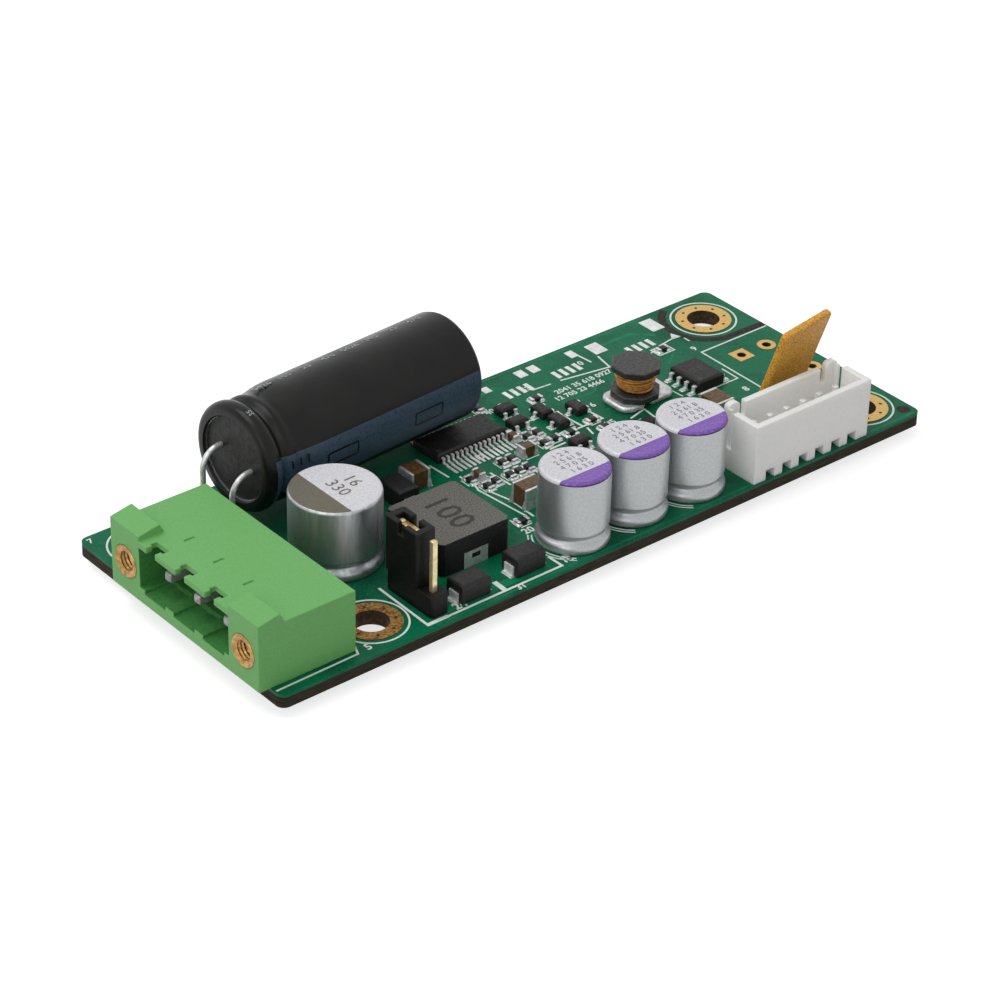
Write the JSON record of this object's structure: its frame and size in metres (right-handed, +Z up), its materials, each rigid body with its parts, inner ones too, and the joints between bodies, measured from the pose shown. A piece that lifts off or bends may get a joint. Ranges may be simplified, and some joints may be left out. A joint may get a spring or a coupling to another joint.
{
  "type": "dc-dc converter board",
  "caption": "Flat green circuit board with a green input socket at one end, a white output socket at the other, and capacitors, chokes and a leaning fuse between them",
  "frame": {"origin": "middle of the overall box in plan, at the level of the cut lead ends under the board", "axes": "+X along the board's long side, from the green input socket to the white output socket's end; +Y from the front edge, where the white socket stands, to the back edge, which the lying capacitor overhangs; +Z up out of the component side"},
  "size_m": [0.0916, 0.0374, 0.0167],
  "materials": {
    "board_green": "green solder mask over a glass-fibre laminate",
    "gold_plate": "thin gold over copper, satin",
    "tin": "bright tin, slightly dulled",
    "green_plastic": "moulded green plastic, matte",
    "brass_insert": "turned brass",
    "white_plastic": "moulded white plastic, matte",
    "aluminium": "drawn aluminium, satin",
    "sleeve": "dark shrink sleeve, satin",
    "bung_rubber": "black rubber, matte",
    "wound_foil": "wound foil and paper",
    "black_plastic": "moulded black plastic, matte",
    "contact_bronze": "sprung bronze",
    "ferrite": "sintered ferrite, matte",
    "copper_wire": "enamelled copper wire",
    "fuse_coating": "dipped amber coating, speckled",
    "ceramic_brown": "fired brown ceramic",
    "resistor_black": "black glaze on ceramic"
  },
  "bodies": {
    "root": {"circuit_board": "board_green", "mounting_rings": "gold_plate", "footprint_pads": "gold_plate", "tinned_pads": "tin", "solder_joints": "tin", "input_pins": "tin", "output_pins": "tin", "bulk_leads": "tin", "input_can_leads": "tin", "output_can_leads_1": "tin", "output_can_leads_2": "tin", "output_can_leads_3": "tin", "jumper_pins": "tin", "choke_terminals": "tin", "drum_terminals": "tin", "fuse_leads": "tin", "controller_leads": "tin", "regulator_leads": "tin", "transistor_leads": "tin", "diode_terminals": "tin", "ceramic_ends": "tin", "resistor_ends": "tin", "input_socket": "green_plastic", "input_inserts": "brass_insert", "output_socket": "white_plastic", "bulk_can": "aluminium", "input_can": "aluminium", "output_can_1": "aluminium", "output_can_2": "aluminium", "output_can_3": "aluminium", "bulk_sleeve": "sleeve", "bulk_bung": "bung_rubber", "input_bung": "bung_rubber", "output_bung_1": "bung_rubber", "output_bung_2": "bung_rubber", "output_bung_3": "bung_rubber", "bulk_roll": "wound_foil", "input_roll": "wound_foil", "output_roll_1": "wound_foil", "output_roll_2": "wound_foil", "output_roll_3": "wound_foil", "jumper_base": "black_plastic", "jumper_shunt": "black_plastic", "controller_body": "black_plastic", "regulator_body": "black_plastic", "transistor_bodies": "black_plastic", "diode_body_1": "black_plastic", "diode_body_2": "black_plastic", "diode_body_3": "black_plastic", "jumper_contact": "contact_bronze", "choke_body": "ferrite", "drum_core": "ferrite", "choke_coil": "copper_wire", "drum_winding": "copper_wire", "fuse_plate": "fuse_coating", "ceramic_bodies": "ceramic_brown", "resistor_bodies": "resistor_black"}
  },
  "joints": []
}
